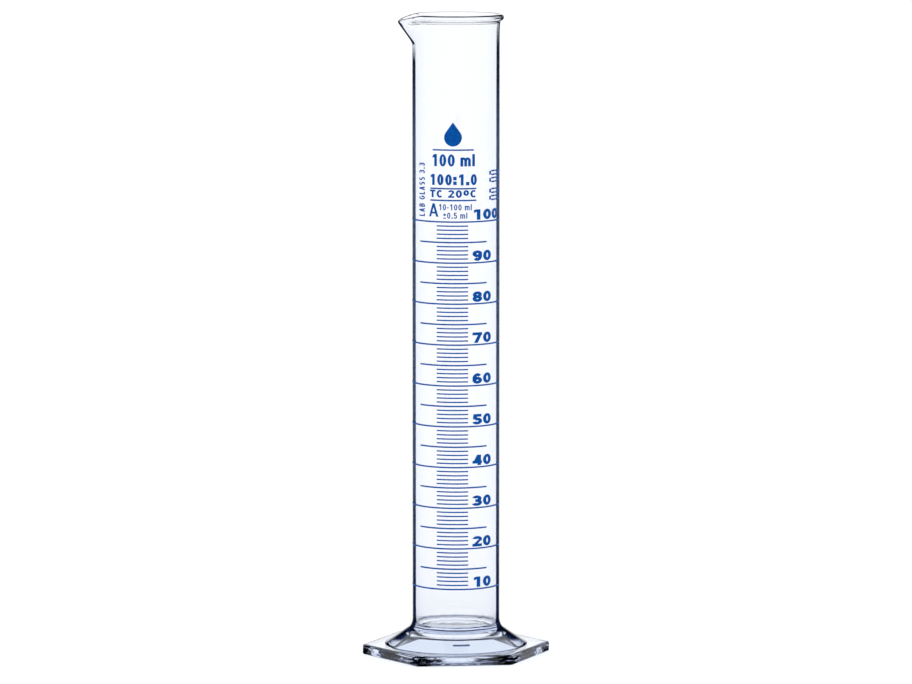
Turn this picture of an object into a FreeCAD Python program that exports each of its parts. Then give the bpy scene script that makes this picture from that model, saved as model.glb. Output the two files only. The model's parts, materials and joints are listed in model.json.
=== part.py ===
import FreeCAD, Part
import math
import os

from collections import namedtuple
from FreeCAD import Rotation, Vector

# A 100 ml graduated cylinder: a glass barrel with a beaded, spouted rim, welded to a pressed
# hexagonal glass foot, with a fired blue enamel scale. Millimetres, +Z up. The origin is on the
# barrel's axis at the face that the foot stands on. The foot has corners on +X and -X, the spout
# points along -X, and the scale faces -Y, turned a little towards the spout.

# Barrel: a drawn tube with a closed floor
BARREL_OD = 31.7
WALL = 1.2
BARREL_BOTTOM_Z = 8.2
FLOOR_Z = 10.8
FLOOR_CORNER_R = 0.9
R_OUT = BARREL_OD / 2
R_IN = R_OUT - WALL

# Rim and spout, worked from the tube's open end. A pair of values is for the plain rim and for the
# middle of the spout, and the sections between them blend from one to the other. Turns are degrees
# from level, and a handle is how far a curve keeps its end's direction.
HEIGHT = 233.0
RIM_START_Z = 222.0
BEAD_R = (1.2, 0.85)
BEAD_CENTRE_R = (16.2, 20.2)
LIP_TOP_Z = (HEIGHT, 231.1)
OUTER_TURN = (-75.0, -33.0)
INNER_TURN = (168.0, 145.0)
WALL_HANDLE = (6.5, 1.2)
OUTER_HANDLE = (0.6, 3.5)
INNER_HANDLE = (1.5, 3.5)
SPOUT_DIRECTION = 180.0
SPOUT_HALF_ANGLE = 40.0
SPOUT_SECTIONS = 21

# Foot: a hexagonal plate with a conical boss, and a bell-shaped hollow underneath with a short
# groove across its side
FOOT_SIDES = 6
FOOT_ACROSS_FLATS = 59.8
FOOT_CORNER_R = 2.2
PLATE_THICKNESS = 3.6
PLATE_TOP_ROUND = 0.9
PLATE_BOTTOM_ROUND = 0.5
BOSS_BASE_R = 25.7
BOSS_BASE_ROUND = 1.2
CONE_RISE = 0.682
HOLLOW_R = 22.5
HOLLOW_RISE = 0.8
HOLLOW_EDGE_ROUND = 2.0
SHOULDER_R = 16.5
SHOULDER_HANDLE_R = 13.4
CROWN_HANDLE_R = 9.0
CROWN_Z = 7.45
GROOVE_R = 17.7
GROOVE_ROUND = 0.45
GROOVE_DIRECTION = -90.0
GROOVE_HALF_ANGLE = 8.7

# Weld: the ring of glass melted round the joint between the barrel and the foot
WELD_TOP_Z = 12.8
WELD_SHOULDER_R = 17.2
WELD_EASING = 0.6
WELD_SKIN = 0.15
WELD_RISE = 1.6

# Enamel scale. Angles are degrees round the barrel from the middle of the scale.
ENAMEL = 0.06
LINE_WIDTH = 0.54
UNIT_LINE_WIDTH = 0.48
SCALE_DIRECTION = -101.0
FIRST_ML = 10
LAST_ML = 100
LABEL_STEP = 10
HALF_STEP = 5
LONG_HALF_ANGLE = 85.0
HALF_LINE_HALF_ANGLE = 49.0
UNIT_HALF_ANGLE = 21.0
CUBIC_MM_PER_ML = 1000.0
CORNER_CENTROID = 0.2234  # of the corner left by a fillet, in fillet radii from the sharp corner

# Lettering, all in millimetres: upright strokes are stem wide and level strokes bar high
Lettering = namedtuple("Lettering", "height width stem bar gap")
NUMERALS = Lettering(3.8, 3.95, 1.52, 1.02, 0.46)
NUMERAL_START_ANGLE = 27.0
NUMERAL_LIFT = 0.65
CAPACITY_LETTERS = Lettering(4.4, 2.55, 1.02, 0.8, 0.56)
GRADUATION_LETTERS = Lettering(4.0, 2.4, 1.02, 0.84, 0.64)
TEMPERATURE_LETTERS = Lettering(2.75, 2.25, 0.8, 0.62, 0.52)
CLASS_LETTERS = Lettering(4.8, 3.35, 0.86, 0.64, 0.0)
SMALL_LETTERS = Lettering(2.2, 1.2, 0.4, 0.36, 0.36)
GLASS_LETTERS = Lettering(3.1, 1.22, 0.44, 0.54, 0.46)
BATCH_DIGITS = Lettering(7.2, 1.95, 0.6, 0.95, 0.6)

# Where the marks above the scale stand, from the top line and the middle of the scale
HEADING_ANGLE = 1.0
DROPLET_HEIGHT = 8.7
DROPLET_WIDTH = 6.4
DROPLET_LIFT = 27.2
RULES = ((25.9, 27.8), (12.0, 31.5), (7.75, 31.5))  # each as (lift, half angle)
CAPACITY_LIFT = 20.0
GRADUATION_LIFT = 13.2
TEMPERATURE_LIFT = 8.75
CLASS_LIFT = 1.8
CLASS_ANGLE = -25.5
RANGE_LIFT = 4.2
TOLERANCE_LIFT = 1.2
SMALL_ANGLE = 4.0
GLASS_LIFT = 1.7
GLASS_ANGLE = -45.5
BATCH_LIFT = 7.3
BATCH_ANGLE = 67.0

AXIS = Vector(0, 0, 1)
ORIGIN = Vector(0, 0, 0)
CUT_OVERRUN = 1.0
SEAM_REACH = 0.1
LEVEL_SLACK = 1e-4
DOT_SHARE = 0.62
WAIST_SHARE = 0.9
BACK_INSET = 0.012


# ---------------------------------------------------------------- geometry helpers


def line(a, b):
    return Part.LineSegment(a, b).toShape()


def polygon_face(points):
    """A flat face in the XY plane through points given as (x, y) pairs."""
    corners = [Vector(x, y, 0) for x, y in points]
    return Part.Face(Part.makePolygon(corners + corners[:1]))


def radial_point(radius, z, angle):
    """A point at that radius and height, in the upright half plane at that angle in degrees."""
    return Rotation(AXIS, angle).multVec(Vector(radius, 0, z))


def polar(centre, radius, angle):
    """The point on a circle in a (radius, z) section, at that angle in degrees."""
    turn = math.radians(angle)
    return centre[0] + radius * math.cos(turn), centre[1] + radius * math.sin(turn)


def between(ends, share):
    """The value that share of the way from the first of a pair to the second."""
    return ends[0] + (ends[1] - ends[0]) * share


def turned(edges, start_angle=0.0, sweep=360.0):
    """The solid that a closed section in the XZ plane makes when it turns about the axis."""
    section = Part.Face(Part.Wire(edges))
    section.rotate(ORIGIN, AXIS, start_angle)
    return section.revolve(ORIGIN, AXIS, sweep)


def in_section(points):
    return [Vector(r, 0, z) for r, z in points]


# ---------------------------------------------------------------- glass


def glass_barrel():
    """The drawn tube, with its closed floor and a rounded corner inside it."""
    corner = (R_IN - FLOOR_CORNER_R, FLOOR_Z + FLOOR_CORNER_R)
    axis_bottom, wall_bottom, wall_top, mouth, bore_low, corner_mid, floor_edge, floor_centre = in_section(
        [
            (0, BARREL_BOTTOM_Z),
            (R_OUT, BARREL_BOTTOM_Z),
            (R_OUT, RIM_START_Z),
            (R_IN, RIM_START_Z),
            (R_IN, corner[1]),
            polar(corner, FLOOR_CORNER_R, -45),
            (corner[0], FLOOR_Z),
            (0, FLOOR_Z),
        ]
    )
    return turned(
        [
            line(axis_bottom, wall_bottom),
            line(wall_bottom, wall_top),
            line(wall_top, mouth),
            line(mouth, bore_low),
            Part.Arc(bore_low, corner_mid, floor_edge).toShape(),
            line(floor_edge, floor_centre),
            line(floor_centre, axis_bottom),
        ]
    )


def spout_share(angle_from_spout):
    """How far the wall is drawn out into the spout: 1 at its middle, 0 at its sides."""
    if abs(angle_from_spout) >= SPOUT_HALF_ANGLE:
        return 0.0
    return math.cos(math.pi * angle_from_spout / (2 * SPOUT_HALF_ANGLE)) ** 2


def rim_section(angle, share):
    """The closed section of the rim at an angle: outer wall, rounded lip, inner wall, bottom."""
    lip_r = between(BEAD_R, share)
    centre = (between(BEAD_CENTRE_R, share), between(LIP_TOP_Z, share) - lip_r)
    outer_turn = between(OUTER_TURN, share)
    inner_turn = between(INNER_TURN, share)
    wall_handle_z = RIM_START_Z + between(WALL_HANDLE, share)

    def point(pair):
        return radial_point(pair[0], pair[1], angle)

    outer_end = polar(centre, lip_r, outer_turn)
    inner_end = polar(centre, lip_r, inner_turn)
    outer = Part.BezierCurve()
    outer.setPoles(
        [
            point((R_OUT, RIM_START_Z)),
            point((R_OUT, wall_handle_z)),
            point(polar(outer_end, between(OUTER_HANDLE, share), outer_turn - 90)),
            point(outer_end),
        ]
    )
    lip = Part.Arc(
        point(outer_end),
        point(polar(centre, lip_r, (outer_turn + inner_turn) / 2)),
        point(inner_end),
    )
    inner = Part.BezierCurve()
    inner.setPoles(
        [
            point(inner_end),
            point(polar(inner_end, between(INNER_HANDLE, share), inner_turn + 90)),
            point((R_IN, wall_handle_z)),
            point((R_IN, RIM_START_Z)),
        ]
    )
    bottom = line(point((R_IN, RIM_START_Z)), point((R_OUT, RIM_START_Z)))
    return [outer.toShape(), lip.toShape(), inner.toShape(), bottom]


def beaded_rim():
    """The fire-polished bead round the mouth, everywhere but at the spout."""
    return turned(
        rim_section(0.0, 0.0),
        SPOUT_DIRECTION + SPOUT_HALF_ANGLE,
        360.0 - 2 * SPOUT_HALF_ANGLE,
    )


def pouring_spout():
    """The sector of the rim that is drawn outwards and down into a pouring lip."""
    sections = []
    for step in range(SPOUT_SECTIONS):
        off_centre = SPOUT_HALF_ANGLE * (2 * step / (SPOUT_SECTIONS - 1) - 1)
        edges = rim_section(SPOUT_DIRECTION + off_centre, spout_share(off_centre))
        sections.append(Part.Wire(edges))
    return Part.makeLoft(sections, True, False)


def cone_radius(z):
    """The radius of the boss's conical side at that height."""
    return BOSS_BASE_R - (z - PLATE_THICKNESS) / CONE_RISE


def rounded_hexagon():
    """The foot's outline, as six sides joined by corner arcs."""
    half_turn = 180.0 / FOOT_SIDES
    arc_centre_r = (FOOT_ACROSS_FLATS / 2 - FOOT_CORNER_R) / math.cos(math.radians(half_turn))
    edges = []
    last_end = None
    first_start = None
    for side in range(FOOT_SIDES):
        turn = 2 * half_turn * side
        centre = Rotation(AXIS, turn).multVec(Vector(arc_centre_r, 0, 0))
        start, middle, end = [
            centre + Rotation(AXIS, turn + off).multVec(Vector(FOOT_CORNER_R, 0, 0))
            for off in (-half_turn, 0.0, half_turn)
        ]
        if last_end is not None:
            edges.append(line(last_end, start))
        else:
            first_start = start
        edges.append(Part.Arc(start, middle, end).toShape())
        last_end = end
    edges.append(line(last_end, first_start))
    return Part.Wire(edges)


def edges_at(shape, z, inside_radius=math.inf, outside_radius=0.0):
    """The edges that lie flat at that height, between those two radii from the axis."""
    found = []
    for edge in shape.Edges:
        box = edge.BoundBox
        if abs(box.ZMin - z) > LEVEL_SLACK or abs(box.ZMax - z) > LEVEL_SLACK:
            continue
        reach = max(math.hypot(v.X, v.Y) for v in edge.Vertexes)
        if outside_radius < reach < inside_radius:
            found.append(edge)
    return found


def flank_z(radius):
    """The height of the hollow's straight side at that radius."""
    return (HOLLOW_R - radius) * HOLLOW_RISE


def foot_hollow():
    """The bell-shaped space under the foot: a straight side, a soft shoulder, a flat crown."""
    outside_r = HOLLOW_R + CUT_OVERRUN / HOLLOW_RISE
    crown, shoulder, mouth, axis_bottom = in_section(
        [
            (0, CROWN_Z),
            (SHOULDER_R, flank_z(SHOULDER_R)),
            (outside_r, -CUT_OVERRUN),
            (0, -CUT_OVERRUN),
        ]
    )
    roof = Part.BezierCurve()
    handles = [(CROWN_HANDLE_R, CROWN_Z), (SHOULDER_HANDLE_R, flank_z(SHOULDER_HANDLE_R))]
    roof.setPoles([crown, *in_section(handles), shoulder])
    return turned(
        [
            roof.toShape(),
            line(shoulder, mouth),
            line(mouth, axis_bottom),
            line(axis_bottom, crown),
        ]
    )


def mould_groove():
    """The short groove that the mould leaves across the hollow's side, at the front."""
    centre = Vector(GROOVE_R, 0, flank_z(GROOVE_R))
    ring = Part.makeCircle(GROOVE_ROUND, centre, Vector(0, 1, 0))
    return turned([ring], GROOVE_DIRECTION - GROOVE_HALF_ANGLE, 2 * GROOVE_HALF_ANGLE)


def hexagonal_foot():
    """The pressed foot: plate, boss and hollow in one piece of glass."""
    plate = Part.Face(rounded_hexagon()).extrude(Vector(0, 0, PLATE_THICKNESS))
    plate = plate.makeFillet(PLATE_TOP_ROUND, edges_at(plate, PLATE_THICKNESS))
    plate = plate.makeFillet(PLATE_BOTTOM_ROUND, edges_at(plate, 0.0))
    boss = Part.makeCone(
        BOSS_BASE_R,
        cone_radius(BARREL_BOTTOM_Z),
        BARREL_BOTTOM_Z - PLATE_THICKNESS,
        Vector(0, 0, PLATE_THICKNESS),
    )
    foot = plate.fuse(boss).removeSplitter()
    seam = edges_at(foot, PLATE_THICKNESS, BOSS_BASE_R + SEAM_REACH, BOSS_BASE_R - SEAM_REACH)
    foot = foot.makeFillet(BOSS_BASE_ROUND, seam)
    foot = foot.cut(foot_hollow())
    mouth = edges_at(foot, 0.0, HOLLOW_R + SEAM_REACH, HOLLOW_R - SEAM_REACH)
    foot = foot.makeFillet(HOLLOW_EDGE_ROUND, mouth)
    return foot.cut(mould_groove())


def weld_collar():
    """The fillet of melted glass that joins the barrel's closed end to the boss."""
    shoulder_z = PLATE_THICKNESS + (BOSS_BASE_R - WELD_SHOULDER_R) * CONE_RISE
    seat_in, seat_out, shoulder, easing, rise, top = in_section(
        [
            (R_OUT, BARREL_BOTTOM_Z),
            (cone_radius(BARREL_BOTTOM_Z), BARREL_BOTTOM_Z),
            (WELD_SHOULDER_R, shoulder_z),
            (WELD_SHOULDER_R - WELD_EASING, shoulder_z + WELD_EASING * CONE_RISE),
            (R_OUT + WELD_SKIN, shoulder_z + WELD_RISE),
            (R_OUT, WELD_TOP_Z),
        ]
    )
    blend = Part.BezierCurve()
    blend.setPoles([shoulder, easing, rise, top])
    return turned(
        [line(seat_in, seat_out), line(seat_out, shoulder), blend.toShape(), line(top, seat_in)]
    )


# ---------------------------------------------------------------- scale lines


def first_line_z():
    """The height of the lowest line, where the glass holds FIRST_ML above its rounded floor."""
    corner_area = (1 - math.pi / 4) * FLOOR_CORNER_R**2
    corner_loss = 2 * math.pi * (R_IN - CORNER_CENTROID * FLOOR_CORNER_R) * corner_area
    return FLOOR_Z + (FIRST_ML * CUBIC_MM_PER_ML + corner_loss) / (math.pi * R_IN**2)


def level_z(ml):
    """The height of the line for that volume."""
    return first_line_z() + (ml - FIRST_ML) * CUBIC_MM_PER_ML / (math.pi * R_IN**2)


def scale_line(z, half_angle, middle=0.0, width=LINE_WIDTH):
    """A line of enamel round part of the barrel, centred that far round from the scale's middle."""
    low, high = z - width / 2, z + width / 2
    skin = R_OUT + ENAMEL
    a, b, c, d = in_section([(R_OUT, low), (skin, low), (skin, high), (R_OUT, high)])
    edges = [line(a, b), line(b, c), line(c, d), line(d, a)]
    return turned(edges, SCALE_DIRECTION + middle - half_angle, 2 * half_angle)


def unit_lines(start_ml):
    """The eight short lines between one long line and the next, as separate solids."""
    between_long = range(start_ml + 1, start_ml + LABEL_STEP)
    levels = [level_z(ml) for ml in between_long if ml % HALF_STEP]
    lines = [scale_line(z, UNIT_HALF_ANGLE, width=UNIT_LINE_WIDTH) for z in levels]
    return Part.makeCompound(lines)


# ---------------------------------------------------------------- lettering


class Pen:
    """Draws the strokes of one flat character, which stands on the X axis with its left at 0."""

    def __init__(self, letters, share):
        self.height = letters.height
        self.width = letters.width * share
        self.stem = letters.stem
        self.bar = letters.bar

    def block(self, left, low, right, high):
        return polygon_face([(left, low), (right, low), (right, high), (left, high)])

    def upright(self, x, low, high):
        """An upright stroke, centred on x."""
        return self.block(x - self.stem / 2, low, x + self.stem / 2, high)

    def level(self, y, left, right):
        """A level stroke, centred on y."""
        return self.block(left, y - self.bar / 2, right, y + self.bar / 2)

    def slant(self, x_low, low, x_high, high):
        """A sloping stroke with level ends, centred on x_low at its foot and x_high at its head."""
        half = self.stem / 2
        return polygon_face(
            [(x_low - half, low), (x_low + half, low), (x_high + half, high), (x_high - half, high)]
        )

    def bowl(self, x, y, half_width, half_height, start=0.0, end=360.0):
        """An elliptical stroke whose outside has those half sizes, from start to end in degrees."""
        outer = ellipse_arc(half_width, half_height, start, end)
        inner = ellipse_arc(half_width - self.stem, half_height - self.bar, start, end)
        if end - start >= 360.0:
            stroke = Part.Face(Part.Wire([outer])).cut(Part.Face(Part.Wire([inner])))
        else:
            (outer_start, outer_end), (inner_start, inner_end) = [
                [arc.valueAt(at) for at in arc.ParameterRange] for arc in (outer, inner)
            ]
            ends = [line(outer_end, inner_end), line(inner_start, outer_start)]
            stroke = Part.Face(Part.Wire([outer, ends[0], inner, ends[1]]))
        stroke.translate(Vector(x, y, 0))
        return stroke

    def dot(self, y):
        """A square dot, centred on y."""
        half = DOT_SHARE * self.stem
        middle = self.width / 2
        return self.block(middle - half, y - half, middle + half, y + half)


def ellipse_arc(half_width, half_height, start, end):
    """An edge along an ellipse about the origin, from start to end in degrees."""
    turn = 90.0 if half_height > half_width else 0.0
    ellipse = Part.Ellipse(ORIGIN, max(half_width, half_height), min(half_width, half_height))
    arc = Part.ArcOfEllipse(ellipse, math.radians(start - turn), math.radians(end - turn)).toShape()
    arc.rotate(ORIGIN, AXIS, turn)
    return arc


def half_bowl(p):
    """The half height of each of two stacked bowls, which share most of a level stroke."""
    return (p.height + WAIST_SHARE * p.bar) / 4


# Each character is drawn from shares of its own height and width, and from its two stroke widths.


def zero(p):
    return [p.bowl(p.width / 2, p.height / 2, p.width / 2, p.height / 2)]


def one(p):
    x = 0.62 * p.width
    flag_low = 0.66 * p.height
    flag = polygon_face(
        [
            (0.14 * p.width, flag_low),
            (x, flag_low + 0.16 * p.height),
            (x, p.height),
            (x - 0.2 * p.width, p.height),
            (0.14 * p.width, flag_low + p.bar),
        ]
    )
    return [p.upright(x, 0, p.height), flag]


def two(p):
    half_high = 0.3 * p.height
    bowl_y = p.height - half_high
    bowl = p.bowl(p.width / 2, bowl_y, p.width / 2, half_high, -35, 170)
    tail_turn = math.radians(-35)
    tail_x = p.width / 2 + (p.width / 2 - p.stem / 2) * math.cos(tail_turn)
    tail_y = bowl_y + (half_high - p.bar / 2) * math.sin(tail_turn)
    tail = p.slant(p.stem * 0.62, p.bar * 0.6, tail_x, tail_y + 0.1 * p.bar)
    return [bowl, tail, p.level(p.bar / 2, 0, p.width)]


def three(p):
    half_high = half_bowl(p)
    x = 0.45 * p.width
    upper = p.bowl(x, p.height - half_high, 0.5 * p.width, half_high, -100, 160)
    lower = p.bowl(x, half_high, 0.55 * p.width, half_high, -160, 100)
    return [upper, lower, p.level(p.height / 2, x - 0.16 * p.width, x)]


def four(p):
    stem_x = 0.7 * p.width
    bar_y = 0.3 * p.height
    blade = p.slant(p.stem / 2, bar_y - p.bar / 2, stem_x - 0.1 * p.stem, p.height)
    return [p.upright(stem_x, 0, p.height), p.level(bar_y, 0, p.width), blade]


def five(p):
    half_high = 0.33 * p.height
    bowl = p.bowl(0.47 * p.width, half_high, 0.53 * p.width, half_high, -160, 130)
    neck = p.slant(0.62 * p.stem, 0.5 * p.height, 0.75 * p.stem, p.height)
    return [bowl, neck, p.level(p.height - p.bar / 2, 0.25 * p.stem, 0.93 * p.width)]


def six(p):
    half_high = 0.325 * p.height
    ring = p.bowl(p.width / 2, half_high, p.width / 2, half_high)
    back = p.bowl(p.width / 2, p.height / 2, p.width / 2, p.height / 2, 40, 180)
    side = p.upright(p.stem / 2 + BACK_INSET * p.width, half_high, p.height / 2)
    return [ring, back, side]


def seven(p):
    leg = p.slant(0.34 * p.width, 0, p.width - p.stem / 2, p.height - p.bar / 2)
    return [p.level(p.height - p.bar / 2, 0, p.width), leg]


def eight(p):
    half_high = half_bowl(p)
    lower = p.bowl(p.width / 2, half_high, p.width / 2, half_high)
    upper = p.bowl(p.width / 2, p.height - half_high, 0.47 * p.width, half_high)
    return [lower, upper]


def nine(p):
    turned_six = six(p)
    for stroke in turned_six:
        stroke.rotate(Vector(p.width / 2, p.height / 2, 0), AXIS, 180)
    return turned_six


def letter_a(p):
    left = p.slant(p.stem / 2, 0, p.width / 2, p.height)
    right = p.slant(p.width - p.stem / 2, 0, p.width / 2, p.height)
    return [left, right, p.level(0.3 * p.height, 0.2 * p.width, 0.8 * p.width)]


def letter_c(p):
    return [p.bowl(p.width / 2, p.height / 2, p.width / 2, p.height / 2, 45, 315)]


def letter_g(p):
    curve = p.bowl(p.width / 2, p.height / 2, p.width / 2, p.height / 2, 45, 330)
    spur = p.upright(p.width - p.stem / 2, 0.18 * p.height, 0.46 * p.height)
    return [curve, spur, p.level(0.46 * p.height, 0.55 * p.width, p.width)]


def letter_l_capital(p):
    return [p.upright(p.stem / 2, 0, p.height), p.level(p.bar / 2, 0, p.width)]


def letter_s(p):
    half_high = half_bowl(p)
    upper = p.bowl(p.width / 2, p.height - half_high, p.width / 2, half_high, 40, 265)
    lower = p.bowl(p.width / 2, half_high, p.width / 2, half_high, -140, 85)
    return [upper, lower, p.level(p.height / 2, 0.4 * p.width, 0.6 * p.width)]


def letter_t(p):
    return [p.upright(p.width / 2, 0, p.height), p.level(p.height - p.bar / 2, 0, p.width)]


def letter_m(p):
    """A small m: three legs under two arches."""
    top = 0.74 * p.height
    arch_half = (p.width + WAIST_SHARE * p.stem) / 4
    spring = top - arch_half
    crowns = (arch_half, p.width - arch_half)
    arches = [p.bowl(x, spring, arch_half, arch_half, 0, 180) for x in crowns]
    legs = [p.upright(x, 0, spring + p.bar / 4) for x in (p.width / 2, p.width - p.stem / 2)]
    return arches + legs + [p.upright(p.stem / 2, 0, top)]


def letter_l(p):
    return [p.upright(p.width / 2, 0, p.height)]


def letter_b(p):
    half_high = half_bowl(p)
    x = 0.45 * p.width
    lower = p.bowl(x, half_high, 0.55 * p.width, half_high, -100, 100)
    upper = p.bowl(x, p.height - half_high, 0.5 * p.width, half_high, -100, 100)
    levels = [p.level(y, 0, x) for y in (p.bar / 2, p.height / 2, p.height - p.bar / 2)]
    return [p.upright(p.stem / 2, 0, p.height), lower, upper] + levels


def colon(p):
    return [p.dot(0.2 * p.height), p.dot(0.62 * p.height)]


def full_stop(p):
    return [p.dot(DOT_SHARE * p.stem)]


def hyphen(p):
    return [p.level(0.42 * p.height, 0, p.width)]


def plus_minus(p):
    middle = 0.62 * p.height
    arm = 0.42 * p.width
    cross = [p.upright(p.width / 2, middle - arm, middle + arm), p.level(middle, 0, p.width)]
    return cross + [p.level(p.bar / 2, 0, p.width)]


def degree(p):
    half = p.width / 2
    return [p.bowl(half, p.height - half, half, half)]


def segment_zero(p):
    """A zero of six separate bars, as a coding wheel prints it."""
    clear = 0.35 * p.stem
    left, right = p.stem / 2, p.width - p.stem / 2
    lower = (p.bar + clear, p.height / 2 - clear)
    upper = (p.height / 2 + clear, p.height - p.bar - clear)
    sides = [p.upright(x, *span) for x in (left, right) for span in (lower, upper)]
    ends = [p.level(y, left, right) for y in (p.bar / 2, p.height - p.bar / 2)]
    return sides + ends


def space(p):
    return []


# Each character's strokes, and its width as a share of a digit's
CHARACTERS = {
    "0": (zero, 1.0),
    "1": (one, 1.0),
    "2": (two, 1.0),
    "3": (three, 1.0),
    "4": (four, 1.0),
    "5": (five, 1.0),
    "6": (six, 1.0),
    "7": (seven, 1.0),
    "8": (eight, 1.0),
    "9": (nine, 1.0),
    "#": (segment_zero, 1.0),
    "A": (letter_a, 1.15),
    "B": (letter_b, 1.05),
    "C": (letter_c, 1.1),
    "G": (letter_g, 1.15),
    "L": (letter_l_capital, 0.85),
    "S": (letter_s, 1.0),
    "T": (letter_t, 1.0),
    "m": (letter_m, 1.5),
    "l": (letter_l, 0.4),
    ":": (colon, 0.4),
    ".": (full_stop, 0.4),
    "-": (hyphen, 0.5),
    "±": (plus_minus, 0.95),
    "°": (degree, 0.92),
    " ": (space, 0.35),
}


def merged(strokes):
    """The strokes of a character as upright blocks, joined with no seams where they cross."""
    blocks = [stroke.extrude(Vector(0, 0, 2 * CUT_OVERRUN)) for stroke in strokes]
    if len(blocks) == 1:
        return blocks[0]
    return blocks[0].multiFuse(blocks[1:]).removeSplitter()


def laid_out(text, letters):
    """The characters of a text as (block, left edge, width), and the whole text's length."""
    placed = []
    x = 0.0
    for character in text:
        draw, share = CHARACTERS[character]
        pen = Pen(letters, share)
        strokes = draw(pen)
        if strokes:
            placed.append((merged(strokes), x, pen.width))
        x += pen.width + letters.gap
    return placed, x - letters.gap


def printed(block, angle, z):
    """A block that stands on the XY plane as enamel on the barrel, its origin at that angle and height."""
    block.rotate(ORIGIN, Vector(1, 0, 0), 90)
    block.translate(Vector(0, CUT_OVERRUN - R_OUT, z))
    block.rotate(ORIGIN, AXIS, angle + 90)
    box = block.BoundBox
    low = Vector(0, 0, box.ZMin - CUT_OVERRUN)
    height = box.ZMax - box.ZMin + 2 * CUT_OVERRUN
    skin = Part.makeCylinder(R_OUT + ENAMEL, height, low).cut(Part.makeCylinder(R_OUT, height, low))
    skin.rotate(ORIGIN, AXIS, angle + 180)
    return block.common(skin).Solids


def level_text(text, lift, middle, letters):
    """A text that runs round the barrel, each character square to the wall where it stands.

    It stands that far above the top line, and its middle is that far round from the scale's."""
    placed, length = laid_out(text, letters)
    solids = []
    for block, left, width in placed:
        block.translate(Vector(-width / 2, 0, 0))
        arc = left + width / 2 - length / 2
        angle = SCALE_DIRECTION + middle + math.degrees(arc / R_OUT)
        solids += printed(block, angle, level_z(LAST_ML) + lift)
    return Part.makeCompound(solids)


def upward_text(text, lift, middle, letters):
    """A text that reads up the barrel, from that far above the top line."""
    solids = []
    for block, left, width in laid_out(text, letters)[0]:
        block.translate(Vector(left, -letters.height / 2, 0))
        block.rotate(ORIGIN, AXIS, 90)
        solids += printed(block, SCALE_DIRECTION + middle, level_z(LAST_ML) + lift)
    return Part.makeCompound(solids)


def numeral(ml):
    """The number beside a long line, standing just above it."""
    text = str(ml)
    length = len(text) * (NUMERALS.width + NUMERALS.gap) - NUMERALS.gap
    middle = NUMERAL_START_ANGLE + math.degrees(length / 2 / R_OUT)
    lift = level_z(ml) - level_z(LAST_ML) + NUMERAL_LIFT
    return level_text(text, lift, middle, NUMERALS)


def droplet():
    """A plain solid drop: a round belly with straight sides up to its point."""
    belly = DROPLET_WIDTH / 2
    centre = Vector(0, belly, 0)
    touch = math.degrees(math.asin(belly / (DROPLET_HEIGHT - belly)))
    right = centre + Rotation(AXIS, touch).multVec(Vector(belly, 0, 0))
    left = Vector(-right.x, right.y, 0)
    point = Vector(0, DROPLET_HEIGHT, 0)
    bottom = Part.Arc(left, ORIGIN, right).toShape()
    drop = merged([Part.Face(Part.Wire([bottom, line(right, point), line(point, left)]))])
    return Part.makeCompound(
        printed(drop, SCALE_DIRECTION + HEADING_ANGLE, level_z(LAST_ML) + DROPLET_LIFT)
    )


def heading_rules():
    """The level rules that part the heading's rows, as separate solids."""
    top = level_z(LAST_ML)
    return Part.makeCompound([scale_line(top + lift, half, HEADING_ANGLE) for lift, half in RULES])


def heading():
    """The marks above the scale, as node name and shape."""
    rows = {
        "capacity_mark": ("100 ml", CAPACITY_LIFT, HEADING_ANGLE, CAPACITY_LETTERS),
        "graduation_mark": ("100:1.0", GRADUATION_LIFT, HEADING_ANGLE, GRADUATION_LETTERS),
        "temperature_mark": ("TC 20°C", TEMPERATURE_LIFT, HEADING_ANGLE, TEMPERATURE_LETTERS),
        "class_mark": ("A", CLASS_LIFT, CLASS_ANGLE, CLASS_LETTERS),
        "range_mark": ("10-100 ml", RANGE_LIFT, SMALL_ANGLE, SMALL_LETTERS),
        "tolerance_mark": ("±0.5 ml", TOLERANCE_LIFT, SMALL_ANGLE, SMALL_LETTERS),
    }
    made = {name: level_text(*row) for name, row in rows.items()}
    made["glass_mark"] = upward_text("LAB GLASS 3.3", GLASS_LIFT, GLASS_ANGLE, GLASS_LETTERS)
    made["batch_mark"] = upward_text("##.##", BATCH_LIFT, BATCH_ANGLE, BATCH_DIGITS)
    made["droplet_emblem"] = droplet()
    made["heading_rules"] = heading_rules()
    return made


def nodes():
    """Every sub-part, as node name and shape."""
    made = {
        "glass_barrel": glass_barrel(),
        "beaded_rim": beaded_rim(),
        "pouring_spout": pouring_spout(),
        "weld_collar": weld_collar(),
        "hexagonal_foot": hexagonal_foot(),
    }
    for ml in range(FIRST_ML, LAST_ML + 1, LABEL_STEP):
        made[f"long_line_{ml:03d}"] = scale_line(level_z(ml), LONG_HALF_ANGLE)
        made[f"numeral_{ml:03d}"] = numeral(ml)
    for ml in range(FIRST_ML, LAST_ML, LABEL_STEP):
        made[f"half_line_{ml + HALF_STEP:03d}"] = scale_line(
            level_z(ml + HALF_STEP), HALF_LINE_HALF_ANGLE
        )
        made[f"unit_lines_{ml:03d}_{ml + LABEL_STEP:03d}"] = unit_lines(ml)
    made.update(heading())
    return made


def main():
    os.makedirs("parts", exist_ok=True)
    for name, shape in nodes().items():
        if not shape.isValid() or not shape.Solids:
            raise ValueError(f"{name} is not a valid solid")
        shape.exportStep(f"parts/{name}.step")
        print(f"{name}: {len(shape.Solids)} solids, {shape.Volume:.2f} mm3")


main()
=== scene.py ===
import json
import math
import random

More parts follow.
